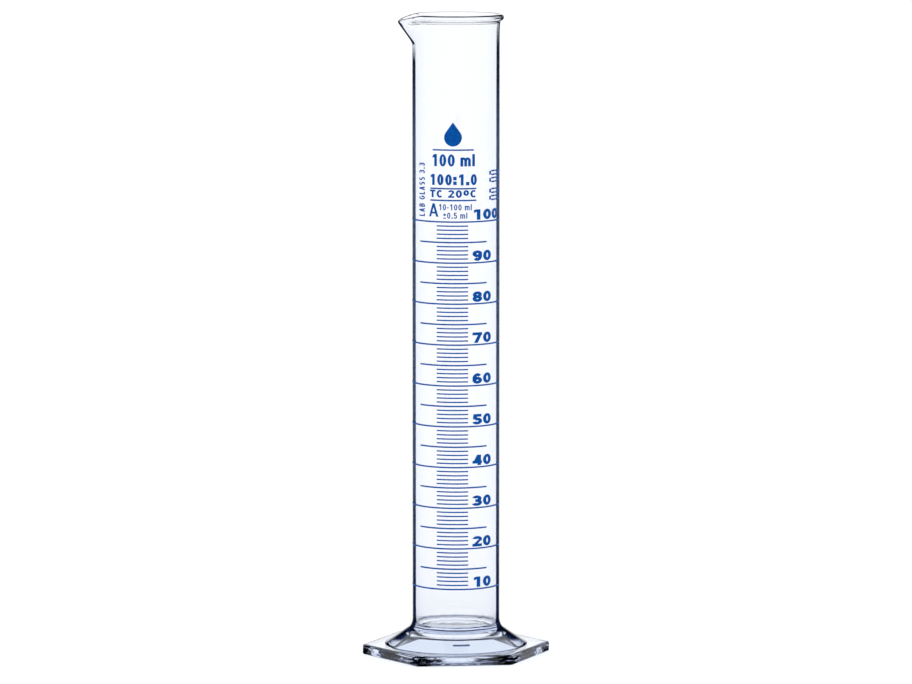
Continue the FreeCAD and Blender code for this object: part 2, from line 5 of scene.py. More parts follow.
import bpy
import numpy as np
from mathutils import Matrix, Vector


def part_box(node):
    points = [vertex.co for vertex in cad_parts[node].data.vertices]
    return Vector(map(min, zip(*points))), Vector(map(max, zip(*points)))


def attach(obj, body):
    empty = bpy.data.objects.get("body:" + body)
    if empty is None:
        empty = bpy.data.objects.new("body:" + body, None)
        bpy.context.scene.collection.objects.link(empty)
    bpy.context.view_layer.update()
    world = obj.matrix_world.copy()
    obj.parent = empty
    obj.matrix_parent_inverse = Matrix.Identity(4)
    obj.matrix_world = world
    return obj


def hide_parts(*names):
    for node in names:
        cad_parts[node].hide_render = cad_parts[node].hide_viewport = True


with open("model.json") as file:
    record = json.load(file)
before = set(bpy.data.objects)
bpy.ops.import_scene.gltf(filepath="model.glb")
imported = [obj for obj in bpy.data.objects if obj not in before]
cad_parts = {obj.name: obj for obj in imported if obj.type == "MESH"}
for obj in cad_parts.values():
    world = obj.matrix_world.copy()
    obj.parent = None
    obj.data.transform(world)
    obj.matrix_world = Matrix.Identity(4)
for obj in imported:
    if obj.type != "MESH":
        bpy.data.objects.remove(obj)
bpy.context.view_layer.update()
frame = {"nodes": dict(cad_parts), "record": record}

# The glass is one fused piece on the real object, so one closed skin stands for the five glass
# nodes. Its section is in millimetres, from the frame and from the dimensions below.
MM = 0.001
BARREL = [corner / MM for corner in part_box("glass_barrel")]
WELD = [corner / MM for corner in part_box("weld_collar")]
FOOT = [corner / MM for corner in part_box("hexagonal_foot")]
RIM = [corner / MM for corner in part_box("beaded_rim")]
BORE = next(m for m in frame["record"]["mounts"] if m["name"] == "barrel_bore")

# Barrel
ENAMEL_SEAT = 0.02  # the enamel is fired this far into the surface
R_OUT = BARREL[1].x + ENAMEL_SEAT
R_IN = BORE["dims"]["r_mm"]
FLOOR_Z = 10.8
FLOOR_CORNER_R = 0.9

# Rim and spout. A pair of values is for the plain rim and for the middle of the spout. Turns are
# degrees from level, and a handle is how far a curve keeps its end's direction.
HEIGHT = RIM[1].z
RIM_START_Z = BARREL[1].z
BEAD_R = (1.2, 0.85)
BEAD_CENTRE_R = (16.2, 20.2)
LIP_TOP_Z = (HEIGHT, 231.1)
OUTER_TURN = (-75.0, -33.0)
INNER_TURN = (168.0, 145.0)
WALL_HANDLE = (6.5, 1.2)
OUTER_HANDLE = (0.6, 3.5)
INNER_HANDLE = (1.5, 3.5)
SPOUT_DIRECTION = 180.0
SPOUT_HALF_ANGLE = 40.0

# Foot
FOOT_SIDES = 6
SIDE_TURN = 360.0 / FOOT_SIDES
FOOT_APOTHEM = FOOT[1].y
FOOT_CORNER_R = 2.2
PLATE_THICKNESS = 3.6
PLATE_TOP_ROUND = 0.9
PLATE_BOTTOM_ROUND = 0.5
BOSS_BASE_R = 25.7
BOSS_BASE_ROUND = 1.2
CONE_RISE = 0.682
CONE_SLOPE = math.atan(CONE_RISE)

# The bell-shaped hollow under the foot, with a mould's groove across its side
HOLLOW_R = 22.5
HOLLOW_RISE = 0.8
HOLLOW_SLOPE = math.atan(HOLLOW_RISE)
HOLLOW_EDGE_ROUND = 2.0
SHOULDER_R = 16.5
SHOULDER_HANDLE_R = 13.4
CROWN_HANDLE_R = 9.0
CROWN_Z = 7.45
GROOVE_R = 17.7
GROOVE_ROUND = 0.45
GROOVE_REACH = 3 * GROOVE_ROUND  # how far past the groove the skin stays finely divided
GROOVE_DIRECTION = -90.0
GROOVE_HALF_ANGLE = 8.7
GROOVE_END_EASE = 0.6

# The melted weld between the foot and the barrel
WELD_TOP_Z = WELD[1].z
WELD_SHOULDER_R = 17.2
WELD_EASING = 0.6
WELD_SKIN = 0.15
WELD_RISE = 1.6

# How far the worked glass strays from its true shape. Each ripple has a seed, its fewest and most
# waves round the axis, and the most that a wave turns in a millimetre of height, in radians.
SIDE_UNEVEN = 0.035
SIDE_RIPPLE = (7, 40, 110, 2.5)
WELD_UNEVEN = 0.07
WELD_RIPPLE = (3, 3, 14, 0.9)
WELD_NEARING = 3  # the power with which the boss takes on the weld's unevenness and tone
BORE_UNEVEN = 0.012
BORE_RIPPLE = (11, 5, 30, 0.004)
BORE_FADES = (20.0, 10.0)  # the lengths below the rim and above the floor over which it sets in
FLOOR_UNEVEN = 0.02
FLOOR_RIPPLE = (5, 8, 40, 0.5)

# Edge tones, painted shade: the glass is painted dark where the cosine between its normal and the line
# of sight is below these. The barrel's own painted dark edges come from the bore, through the inner
# tone.
TUBE_EDGE = 0.15
WELD_EDGE = 0.42
WELD_REACH = 1.2  # how far above the weld the barrel keeps the weld's tone
CONE_EDGE = 0.2
HOLLOW_EDGE = (0.78, 0.6)  # at the hollow's shoulder and at its mouth
BEAD_EDGE = 0.33
BEAD_TURNS = (10.0, 30.0)
CREST_EDGE = 0.85
CREST_TURNS = (28.0, 45.0, 95.0, 120.0)
SPOUT_EDGE = 0.45

# Painted shade: fleck tones for broken dark flecks, and veil tones for an even slate darkening
SIDE_SHADE_FLECK = 0.9
SIDE_SHADE_FLECK_SPREAD = 14.0
WELD_SHADE_FLECK = 0.35
FLOOR_SHADE_FLECK = 0.8
FLOOR_PAINTED_SHADE = 0.35
BOSS_BASE_PAINTED_SHADE = 1.0
GROOVE_PAINTED_SHADE = 1.0
WALL_PAINTED_SHADE = 0.07
WALL_PAINTED_SHADE_HEIGHT = 18.0

# How finely the skin is divided: round the axis, then along each stretch of the section
CORNER_SPAN = 5.0
CORNER_STEPS = 5
SIDE_STEPS = 25
CROWN_STEPS = 26
GROOVE_STEPS = 26
FLANK_STEPS = 8
FLAT_STEPS = 6
ROUND_STEPS = 6
SIDE_HEIGHT_STEPS = 9
CONE_STEPS = 14
WELD_STEPS = 14
WALL_STEPS = 60
FLARE_STEPS = 16
LIP_STEPS = 24
BORE_STEPS = 36
FLOOR_CORNER_STEPS = 9
FLOOR_STEPS = 10
FLOOR_CENTRE_R = 0.5


# ---------------------------------------------------------------- the skin


def between(ends, share):
    """The value that share of the way from the first of a pair to the second."""
    return ends[0] + (ends[1] - ends[0]) * share


def steps(start, end, count):
    """That many even steps from start to end, without start itself."""
    return np.linspace(start, end, count + 1)[1:]


def ring_angles():
    """The angles that the skin is divided at, in degrees: finer at the foot's corners."""
    fine = steps(0, CORNER_SPAN, CORNER_STEPS)
    half = np.concatenate([fine, steps(CORNER_SPAN, SIDE_TURN / 2, SIDE_STEPS)])
    sector = np.concatenate([-half[::-1], [0.0], half[:-1]])
    return np.concatenate([sector + SIDE_TURN * side for side in range(FOOT_SIDES)])


def turn_between(a, b):
    """The angle from b to a in degrees, from -180 to 180."""
    return (a - b + 180.0) % 360.0 - 180.0


def bezier(a, b, c, d, t):
    """The point at t along a cubic curve, whose four control points may hold arrays."""
    return a * (1 - t) ** 3 + 3 * b * t * (1 - t) ** 2 + 3 * c * t**2 * (1 - t) + d * t**3


class Ripple:
    """Smooth seeded unevenness of about unit size, over the angle round the axis and the height."""

    WAVES = 9

    def __init__(self, seed, lowest, highest, tall):
        draw = random.Random(seed)
        self.waves = [
            (draw.randint(lowest, highest), draw.uniform(-tall, tall), draw.uniform(0, math.tau))
            for _ in range(self.WAVES)
        ]

    def at(self, angles, z):
        total = sum(np.sin(k * np.radians(angles) + q * z + p) for k, q, p in self.waves)
        return total / math.sqrt(self.WAVES)


class Skin:
    """Rings of points round the axis, from the middle of the underside to the middle of the floor.

    Each ring also carries four tones of painted shade, which say how dark its glass is painted: edge
    on, in broken flecks, all over, and where it mirrors light back into the glass."""

    TONES = ("edge", "fleck", "veil", "inner")

    def __init__(self, angles):
        self.angles = angles
        self.rings = []
        self.tones = {name: [] for name in self.TONES}

    def ring(self, r, z, **tones):
        self.rings.append((self.spread(r), self.spread(z)))
        for name, values in self.tones.items():
            values.append(self.spread(tones.get(name, 0.0)))

    def spread(self, value):
        return np.broadcast_to(np.asarray(value, float), self.angles.shape)

    def faces(self):
        count = len(self.angles)
        after = [(j + 1) % count for j in range(count)]
        faces = [(0, 1 + after[j], 1 + j) for j in range(count)]
        for i in range(len(self.rings) - 1):
            low, high = 1 + i * count, 1 + (i + 1) * count
            faces += [(low + j, low + after[j], high + after[j], high + j) for j in range(count)]
        top = 1 + (len(self.rings) - 1) * count
        return faces + [(top + j, top + after[j], top + count) for j in range(count)]

    def mesh(self, name, bottom_z, floor_z):
        turn = np.radians(self.angles)
        rows = [np.stack([r * np.cos(turn), r * np.sin(turn), z], axis=1) for r, z in self.rings]
        points = np.concatenate([[[0, 0, bottom_z]], *rows, [[0, 0, floor_z]]]) * MM
        mesh = bpy.data.meshes.new(name)
        mesh.from_pydata(points.tolist(), [], self.faces())
        mesh.polygons.foreach_set("use_smooth", [True] * len(mesh.polygons))
        for tone, values in self.tones.items():
            layer = mesh.attributes.new(tone, "FLOAT", "POINT")
            layer.data.foreach_set("value", np.concatenate([[0.0], *values, [0.0]]))
        mesh.update()
        return mesh


# ---------------------------------------------------------------- foot


def corner_off(angles):
    """How far round each angle is from the nearest of the foot's corners, in degrees."""
    return np.abs((angles + SIDE_TURN / 2) % SIDE_TURN - SIDE_TURN / 2)


def hexagon_radius(angles, inset):
    """How far the foot's outline, moved in by inset, stands from the axis at those angles.

    The corners' tips reach no further than the CAD mesh's, which are flattened a little."""
    half_side = math.radians(SIDE_TURN / 2)
    arc_centre = (FOOT_APOTHEM - FOOT_CORNER_R) / math.cos(half_side)
    round_r = FOOT_CORNER_R - inset
    off = np.radians(corner_off(angles))
    flat = (FOOT_APOTHEM - inset) / np.cos(half_side - off)
    across = np.clip(round_r**2 - (arc_centre * np.sin(off)) ** 2, 0, None)
    arc = np.minimum(arc_centre * np.cos(off) + np.sqrt(across), FOOT[1].x)
    touch = math.atan2(
        round_r * math.sin(half_side), arc_centre + round_r * math.cos(half_side)
    )
    return np.where(off < touch, arc, flat)


def flank_z(r):
    """The height of the hollow's straight side at that radius."""
    return (HOLLOW_R - r) * HOLLOW_RISE


def add_crown(skin):
    """The hollow's soft roof, out to its shoulder."""
    handle_z, shoulder_z = flank_z(SHOULDER_HANDLE_R), flank_z(SHOULDER_R)
    for t in steps(0, 1, CROWN_STEPS):
        r = bezier(0.0, CROWN_HANDLE_R, SHOULDER_HANDLE_R, SHOULDER_R, t)
        skin.ring(r, bezier(CROWN_Z, CROWN_Z, handle_z, shoulder_z, t))


def add_flank(skin):
    """The hollow's straight side with the groove across it, and its rounded mouth."""
    off = np.abs(turn_between(skin.angles, GROOVE_DIRECTION))
    inside = (GROOVE_HALF_ANGLE + GROOVE_END_EASE - off) / (2 * GROOVE_END_EASE)
    in_groove = np.clip(inside, 0, 1)
    reach = HOLLOW_EDGE_ROUND * math.tan(HOLLOW_SLOPE / 2)
    groove_end = GROOVE_R + GROOVE_REACH
    mouth_r = HOLLOW_R - reach * math.cos(HOLLOW_SLOPE)
    to_groove = steps(SHOULDER_R, groove_end, GROOVE_STEPS)
    for r in np.concatenate([to_groove, steps(groove_end, mouth_r, FLANK_STEPS)]):
        along = (r - GROOVE_R) / math.cos(HOLLOW_SLOPE)
        depth = in_groove * math.sqrt(max(0.0, GROOVE_ROUND**2 - along**2))
        # Painted shade: the groove is painted darker with its depth, and the hollow's side dark edge
        # on.
        skin.ring(
            r + depth * math.sin(HOLLOW_SLOPE),
            flank_z(r) + depth * math.cos(HOLLOW_SLOPE),
            edge=between(HOLLOW_EDGE, (r - SHOULDER_R) / (HOLLOW_R - SHOULDER_R)),
            veil=GROOVE_PAINTED_SHADE * depth / GROOVE_ROUND,
        )
    for turn in steps(HOLLOW_SLOPE, 0, ROUND_STEPS):
        r = HOLLOW_R + reach - HOLLOW_EDGE_ROUND * math.sin(turn)
        skin.ring(r, HOLLOW_EDGE_ROUND * (1 - math.cos(turn)))
    inner = HOLLOW_R + reach
    outer = hexagon_radius(skin.angles, PLATE_BOTTOM_ROUND)
    for share in steps(0, 1, FLAT_STEPS):
        skin.ring(inner + (outer - inner) * share, 0)


def add_plate(skin):
    """The plate's rounded edges and sides, then its top as far as the round at the boss's base."""
    # Painted shade: broken dark flecks near the foot's corners, fading out onto the plate's top.
    flecks = SIDE_SHADE_FLECK * np.exp(-((corner_off(skin.angles) / SIDE_SHADE_FLECK_SPREAD) ** 2))
    for turn in np.radians(steps(0, 90, ROUND_STEPS)):
        inset = PLATE_BOTTOM_ROUND * (1 - math.sin(turn))
        z = PLATE_BOTTOM_ROUND * (1 - math.cos(turn))
        skin.ring(hexagon_radius(skin.angles, inset), z, fleck=flecks)
    uneven = Ripple(*SIDE_RIPPLE)
    side_top = PLATE_THICKNESS - PLATE_TOP_ROUND
    side_height = side_top - PLATE_BOTTOM_ROUND
    for z in steps(PLATE_BOTTOM_ROUND, side_top, SIDE_HEIGHT_STEPS):
        depth = SIDE_UNEVEN * math.sin(math.pi * (z - PLATE_BOTTOM_ROUND) / side_height)
        inwards = depth * np.maximum(0, 1 + uneven.at(skin.angles, z))
        r = hexagon_radius(skin.angles, 0) - inwards
        skin.ring(r, z, fleck=flecks)
    for turn in np.radians(steps(0, 90, ROUND_STEPS)):
        inset = PLATE_TOP_ROUND * (1 - math.cos(turn))
        z = side_top + PLATE_TOP_ROUND * math.sin(turn)
        skin.ring(hexagon_radius(skin.angles, inset), z, fleck=flecks * math.sqrt(math.cos(turn)))
    outer = hexagon_radius(skin.angles, PLATE_TOP_ROUND)
    inner = BOSS_BASE_R + BOSS_BASE_ROUND * math.tan(CONE_SLOPE / 2)
    for share in steps(0, 1, FLAT_STEPS):
        skin.ring(outer + (inner - outer) * share, PLATE_THICKNESS)


def add_boss(skin):
    """The round at the boss's base and its conical side, up to the weld."""
    reach = BOSS_BASE_ROUND * math.tan(CONE_SLOPE / 2)
    for turn in steps(0, CONE_SLOPE, ROUND_STEPS):
        share = turn / CONE_SLOPE
        r = BOSS_BASE_R + reach - BOSS_BASE_ROUND * math.sin(turn)
        z = PLATE_THICKNESS + BOSS_BASE_ROUND * (1 - math.cos(turn))
        # Painted shade: the round at the boss's base is painted darker in its crease, and the boss
        # dark edge on.
        veil = BOSS_BASE_PAINTED_SHADE * math.sin(math.pi * share)
        skin.ring(r, z, edge=CONE_EDGE * share, veil=veil)
    base_r = BOSS_BASE_R - reach * math.cos(CONE_SLOPE)
    uneven = Ripple(*WELD_RIPPLE)
    for r in steps(base_r, WELD_SHOULDER_R, CONE_STEPS):
        z = PLATE_THICKNESS + (BOSS_BASE_R - r) * CONE_RISE
        near = ((base_r - r) / (base_r - WELD_SHOULDER_R)) ** WELD_NEARING
        strayed = r + near * WELD_UNEVEN * uneven.at(skin.angles, z)
        skin.ring(strayed, z, edge=between((CONE_EDGE, WELD_EDGE), near))
    add_weld(skin, uneven)


def add_weld(skin, uneven):
    """The melted weld, which goes on with the boss's unevenness and loses it at the barrel."""
    shoulder_z = PLATE_THICKNESS + (BOSS_BASE_R - WELD_SHOULDER_R) * CONE_RISE
    radii = (WELD_SHOULDER_R, WELD_SHOULDER_R - WELD_EASING, R_OUT + WELD_SKIN, R_OUT)
    easing_z = shoulder_z + WELD_EASING * CONE_RISE
    heights = (shoulder_z, easing_z, shoulder_z + WELD_RISE, WELD_TOP_Z)
    for t in steps(0, 1, WELD_STEPS):
        z = bezier(*heights, t)
        r = bezier(*radii, t) + (1 - t) * WELD_UNEVEN * uneven.at(skin.angles, z)
        # Painted shade: the weld is painted dark edge on, with dark flecks that fade towards the
        # barrel.
        skin.ring(r, z, edge=WELD_EDGE, fleck=WELD_SHADE_FLECK * (1 - t))


# ---------------------------------------------------------------- barrel and rim


def add_wall(skin):
    """The barrel's outer side. Its painted shade, dark edge on and an even darkening, fades upwards
    from the weld.
    """
    for z in steps(WELD_TOP_Z, RIM_START_Z, WALL_STEPS):
        near_weld = math.exp((WELD_TOP_Z - z) / WELD_REACH)
        veil = WALL_PAINTED_SHADE * math.exp((WELD_TOP_Z - z) / WALL_PAINTED_SHADE_HEIGHT)
        skin.ring(R_OUT, z, edge=between((TUBE_EDGE, WELD_EDGE), near_weld), veil=veil)


def spout_share(angles):
    """How far the wall is drawn out into the spout: 1 at its middle, 0 at its sides."""
    off = turn_between(angles, SPOUT_DIRECTION)
    share = np.cos(np.pi * off / (2 * SPOUT_HALF_ANGLE)) ** 2
    return np.where(np.abs(off) < SPOUT_HALF_ANGLE, share, 0.0)


def add_rim(skin):
    """The outer wall's flare, the rounded lip and the way back down to the bore."""
    share = spout_share(skin.angles)
    lip_r = between(BEAD_R, share)
    centre_r = between(BEAD_CENTRE_R, share)
    centre_z = between(LIP_TOP_Z, share) - lip_r
    outer_turn = np.radians(between(OUTER_TURN, share))
    inner_turn = np.radians(between(INNER_TURN, share))
    wall_z = RIM_START_Z + between(WALL_HANDLE, share)
    side_edge = between((BEAD_EDGE, SPOUT_EDGE), share)

    def on_lip(turn):
        return centre_r + lip_r * np.cos(turn), centre_z + lip_r * np.sin(turn)

    end_r, end_z = on_lip(outer_turn)
    reach = between(OUTER_HANDLE, share)
    handle_r, handle_z = end_r + reach * np.sin(outer_turn), end_z - reach * np.cos(outer_turn)
    # Painted shade: the flare is painted dark edge on, over a wider range of angles towards the lip
    # and in the spout.
    for t in steps(0, 1, FLARE_STEPS):
        r = bezier(R_OUT, R_OUT, handle_r, end_r, t)
        z = bezier(RIM_START_Z, wall_z, handle_z, end_z, t)
        plain = between((TUBE_EDGE, BEAD_EDGE), t)
        skin.ring(r, z, edge=between((plain, SPOUT_EDGE), share))
    # Painted shade: a dark band over the lip's crest, and dark edge on over the bead's outer side,
    # more in the spout.
    for t in steps(0, 1, LIP_STEPS):
        turn = outer_turn + (inner_turn - outer_turn) * t
        crest = np.interp(np.degrees(turn), CREST_TURNS, (0, CREST_EDGE, CREST_EDGE, 0))
        side = np.interp(np.degrees(turn), BEAD_TURNS, (1, 0)) * side_edge
        skin.ring(*on_lip(turn), edge=np.maximum(crest, side))
    end_r, end_z = on_lip(inner_turn)
    reach = between(INNER_HANDLE, share)
    handle_r, handle_z = end_r - reach * np.sin(inner_turn), end_z + reach * np.cos(inner_turn)
    # Painted shade: light mirrored past the critical angle is painted dark, more towards the bore and
    # not at the spout's middle.
    for t in steps(0, 1, FLARE_STEPS):
        r = bezier(end_r, handle_r, R_IN, R_IN, t)
        skin.ring(r, bezier(end_z, handle_z, wall_z, RIM_START_Z, t), inner=(1 - share) * t)


def add_bore(skin):
    """The bore, then the floor's rounded corner with painted shade that breaks into dark flecks at the
    front, and the floor.
    """
    drawn = Ripple(*BORE_RIPPLE)
    corner_z = FLOOR_Z + FLOOR_CORNER_R
    rim_fade, floor_fade = BORE_FADES
    # Painted shade: all light that the bore mirrors past the critical angle is painted dark.
    for z in steps(RIM_START_Z, corner_z, BORE_STEPS):
        fade = min(1.0, (RIM_START_Z - z) / rim_fade, (z - corner_z) / floor_fade)
        skin.ring(R_IN + BORE_UNEVEN * fade * drawn.at(skin.angles, z), z, inner=1.0)
    corner_r = R_IN - FLOOR_CORNER_R
    uneven = Ripple(*FLOOR_RIPPLE)
    # Painted shade: the floor's rounded corner is painted darker all round, with dark flecks that grow
    # towards the front.
    front_share = (1 + np.cos(np.radians(skin.angles - GROOVE_DIRECTION))) / 2
    for turn in np.radians(steps(0, 90, FLOOR_CORNER_STEPS)):
        mid_corner = math.sin(2 * turn)
        r = corner_r + FLOOR_CORNER_R * math.cos(turn)
        z = corner_z - FLOOR_CORNER_R * math.sin(turn)
        wave = FLOOR_UNEVEN * mid_corner * uneven.at(skin.angles, z)
        skin.ring(r + wave, z, veil=FLOOR_PAINTED_SHADE * mid_corner, fleck=FLOOR_SHADE_FLECK * mid_corner * front_share)
    for r in steps(corner_r, FLOOR_CENTRE_R, FLOOR_STEPS):
        skin.ring(r, FLOOR_Z)


def make_glass():
    """The whole vessel's glass, as one closed skin."""
    skin = Skin(ring_angles())
    add_crown(skin)
    add_flank(skin)
    add_plate(skin)
    add_boss(skin)
    add_wall(skin)
    add_rim(skin)
    add_bore(skin)
    body = bpy.data.objects.new("glass_body", skin.mesh("glass_body", CROWN_Z, FLOOR_Z))
    bpy.context.scene.collection.objects.link(body)
    body.data.materials.append(glass_material())
    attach(body, "root")
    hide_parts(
        "glass_barrel", "beaded_rim", "pouring_spout", "weld_collar", "hexagonal_foot"
    )


# ---------------------------------------------------------------- materials

MIX_A, MIX_B, MIX_RESULT = 6, 7, 2  # the Mix node's colour sockets
COSINE_BLEND = 0.5  # the Layer Weight blend at which Facing is 1 minus the cosine

WHITE = (1.0, 1.0, 1.0)
GLASS_IOR = 1.47
GLASS_DEPTH_TINT = (0.50, 0.66, 1.0)
GLASS_DEPTH_DENSITY = 17.0
GLASS_SHADOW_TINT = (0.93, 0.95, 0.97)
DRAWN_NOISE_SCALE = 240.0
DRAWN_DETAIL = 3.0
DRAWN_STRETCH = (1.0, 1.0, 0.12)
DRAWN_RELIEF = 6e-6

# Painted shade at each meeting: a little darker from face on to slanting, then dark edge on, by height
SLANT_SHADE_STOPS = (
    (0.0, (0.970, 0.978, 0.990)),
    (0.28, (0.958, 0.969, 0.986)),
    (0.43, (0.915, 0.934, 0.963)),
    (0.62, (0.85, 0.88, 0.935)),
)
EDGE_SHADE_STOPS = (
    (0.00, (0.008, 0.018, 0.060)),
    (0.10, (0.010, 0.022, 0.064)),
    (0.30, (0.060, 0.090, 0.155)),
    (0.80, (0.065, 0.095, 0.165)),
    (0.90, (0.010, 0.018, 0.050)),
    (1.00, (0.002, 0.005, 0.022)),
)
EDGE_SOFTNESS = 0.035
MIRROR_EDGE = 0.375  # mirrored light is painted dark from here, even where bent light stays clear
CRITICAL_COSINE = math.sqrt(1 - 1 / GLASS_IOR**2)  # below it, the bore mirrors all of the wall's light
CRITICAL_SOFTNESS = 0.006
EDGE_PRESENT = (0.02, 0.12)  # an edge tone below the first counts as none
GLINT = (0.22, 0.10)  # the cosines at which the outermost reflection starts and ends turning white
# Colours of the painted shade: an even slate darkening, and broken dark flecks
PAINTED_SHADE_DARK = (0.11, 0.165, 0.35)
SHADE_FLECK_DARK = (0.010, 0.015, 0.028)
SHADE_FLECK_STRETCH = (1.0, 1.0, 5.0)
SHADE_FLECK_SCALE = 300.0
SHADE_FLECK_DETAIL = 3.0
SHADE_FLECK_WEIGHT = 0.5  # how much of the fleck tone is added to the noise that breaks up the painted shade
SHADE_FLECK_LEVELS = (0.84, 0.90)
SHADE_FLECK_PRESENT = (0.0, 0.1)

ENAMEL_STOPS = ((0.3, (0.0, 0.055, 0.27)), (0.7, (0.0, 0.085, 0.36)))
ENAMEL_MOTTLE_SCALE = 900.0
ENAMEL_MOTTLE_DETAIL = 4.0
ENAMEL_PEEL_SCALE = 4200.0
ENAMEL_PEEL_DETAIL = 2.0
ENAMEL_PEEL_SPAN = (0.3, 0.7)  # the peel noise that the roughness runs between
ENAMEL_PEEL_RELIEF = 5e-6
ENAMEL_ROUGHNESS = (0.35, 0.5)
ENAMEL_SPECULAR = 0.04


class Graph:
    """A material's or the world's nodes. An input is given as a value or as another node's output."""

    def __init__(self, owner):
        owner.use_nodes = True
        self.tree = owner.node_tree
        self.tree.nodes.clear()

    def node(self, kind, inputs, **settings):
        made = self.tree.nodes.new("ShaderNode" + kind)
        for key, value in settings.items():
            setattr(made, key, value)
        for key, value in inputs.items():
            if isinstance(value, bpy.types.NodeSocket):
                self.tree.links.new(value, made.inputs[key])
            else:
                made.inputs[key].default_value = value
        return made

    def shader(self, kind, inputs):
        return self.node(kind, inputs).outputs[0]

    def math(self, operation, *values):
        return self.node("Math", dict(enumerate(values)), operation=operation).outputs[0]

    def scaled(self, vector, factors):
        inputs = {0: vector, 1: factors}
        return self.node("VectorMath", inputs, operation="MULTIPLY").outputs[0]

    def ramp(self, factor, stops):
        made = self.node("ValToRGB", {0: factor})
        elements = made.color_ramp.elements
        while len(elements) < len(stops):
            elements.new(1.0)
        for element, (place, colour) in zip(elements, stops):
            element.position = place
            element.color = (*colour, 1.0)
        return made.outputs[0]

    def blend(self, factor, a, b):
        """Colour a, turning to colour b as the factor goes from 0 to 1."""
        a, b = [(*c, 1.0) if isinstance(c, tuple) else c for c in (a, b)]
        inputs = {0: factor, MIX_A: a, MIX_B: b}
        return self.node("Mix", inputs, data_type="RGBA").outputs[MIX_RESULT]

    def smooth(self, value, low, high):
        """0 where the value is at low, 1 where it is at high, and a soft step between them."""
        inputs = {"Value": value, "From Min": low, "From Max": high}
        return self.node("MapRange", inputs, interpolation_type="SMOOTHSTEP").outputs[0]

    def tone(self, name):
        return self.node("Attribute", {}, attribute_name=name).outputs["Fac"]

    def place(self):
        return self.node("TexCoord", {}).outputs["Object"]

    def noise(self, vector, scale, detail):
        inputs = {"Vector": vector, "Scale": scale, "Detail": detail}
        return self.node("TexNoise", inputs).outputs[0]

    def bump(self, height, distance):
        return self.node("Bump", {"Height": height, "Distance": distance}).outputs[0]


def below(g, cosine, edge):
    """1 where the cosine is below the edge tone, with a soft step to 0 above it."""
    low = g.math("SUBTRACT", edge, EDGE_SOFTNESS)
    high = g.math("ADD", edge, EDGE_SOFTNESS)
    return g.smooth(cosine, high, low)


def glass_painted_shade(g, place):
    """The colours that bent and mirrored light take at each meeting with the glass: all painted shade.
    """
    # Painted shade by the angle of view: a little darker slanting, and dark edge on, with height
    # setting how dark.
    slant = g.node("LayerWeight", {"Blend": COSINE_BLEND}).outputs["Facing"]
    cosine = g.math("SUBTRACT", 1.0, slant)
    edge = g.tone("edge")
    has_edge = g.smooth(edge, *EDGE_PRESENT)
    edge_on = g.math("MULTIPLY", below(g, cosine, edge), has_edge)
    mirror_edge = g.math("MAXIMUM", edge, MIRROR_EDGE)
    mirror_edge_on = g.math("MULTIPLY", below(g, cosine, mirror_edge), has_edge)
    height = g.math("DIVIDE", g.node("SeparateXYZ", {0: place}).outputs["Z"], HEIGHT * MM)
    clear = g.blend(has_edge, WHITE, g.ramp(slant, SLANT_SHADE_STOPS))
    dark = g.ramp(height, EDGE_SHADE_STOPS)
    edge_shaded = g.blend(edge_on, clear, dark)

    # Painted shade: broken dark flecks, and an even slate darkening, over the edge shade.
    fleck = g.tone("fleck")
    shade_fleck_noise = g.noise(g.scaled(place, SHADE_FLECK_STRETCH), SHADE_FLECK_SCALE, SHADE_FLECK_DETAIL)
    broken = g.smooth(g.math("MULTIPLY_ADD", fleck, SHADE_FLECK_WEIGHT, shade_fleck_noise), *SHADE_FLECK_LEVELS)
    flecked = g.math("MULTIPLY", broken, g.smooth(fleck, *SHADE_FLECK_PRESENT))
    bent = g.blend(g.tone("veil"), g.blend(flecked, edge_shaded, SHADE_FLECK_DARK), PAINTED_SHADE_DARK)

    inside = g.node("NewGeometry", {}).outputs["Backfacing"]
    # Mirrored light takes the same painted shade and is painted dark edge on over a wider range; only
    # the outermost edges are left white.
    glint = g.math("MULTIPLY", g.smooth(cosine, *GLINT), g.math("SUBTRACT", 1.0, inside))
    mirrored = g.blend(glint, g.blend(mirror_edge_on, bent, dark), WHITE)
    # Painted shade: light that the bore mirrors past the critical angle is painted dark.
    total = g.smooth(cosine, CRITICAL_COSINE + CRITICAL_SOFTNESS, CRITICAL_COSINE)
    painted_dark_mirror = g.math("MULTIPLY", g.math("MULTIPLY", g.tone("inner"), inside), total)
    return bent, g.blend(painted_dark_mirror, mirrored, dark)


def glass_material():
    """Clear borosilicate glass, a little blue in depth. Its colour is painted dark where it is met
    edge on, as painted shade, and the light that the bore mirrors past the critical angle is painted
    dark too."""
    material = bpy.data.materials.new("borosilicate_glass")
    g = Graph(material)
    place = g.place()
    drawn = g.noise(g.scaled(place, DRAWN_STRETCH), DRAWN_NOISE_SCALE, DRAWN_DETAIL)
    normal = g.bump(drawn, DRAWN_RELIEF)
    bent_shade, mirror_shade = glass_painted_shade(g, place)
    bent = g.shader(
        "BsdfRefraction",
        {"Color": bent_shade, "Roughness": 0.0, "IOR": GLASS_IOR, "Normal": normal},
    )
    mirrored = g.shader("BsdfGlossy", {"Color": mirror_shade, "Roughness": 0.0, "Normal": normal})
    fresnel = g.node("Fresnel", {"IOR": GLASS_IOR, "Normal": normal}).outputs[0]
    glass = g.shader("MixShader", {0: fresnel, 1: bent, 2: mirrored})
    clear = g.shader("BsdfTransparent", {"Color": (*GLASS_SHADOW_TINT, 1)})
    path = g.node("LightPath", {}).outputs
    unseen = g.math("MAXIMUM", path["Is Shadow Ray"], path["Is Diffuse Ray"])
    surface = g.shader("MixShader", {0: unseen, 1: glass, 2: clear})
    depth_tint = {"Color": (*GLASS_DEPTH_TINT, 1), "Density": GLASS_DEPTH_DENSITY}
    depth = g.shader("VolumeAbsorption", depth_tint)
    g.node("OutputMaterial", {"Surface": surface, "Volume": depth})
    return material


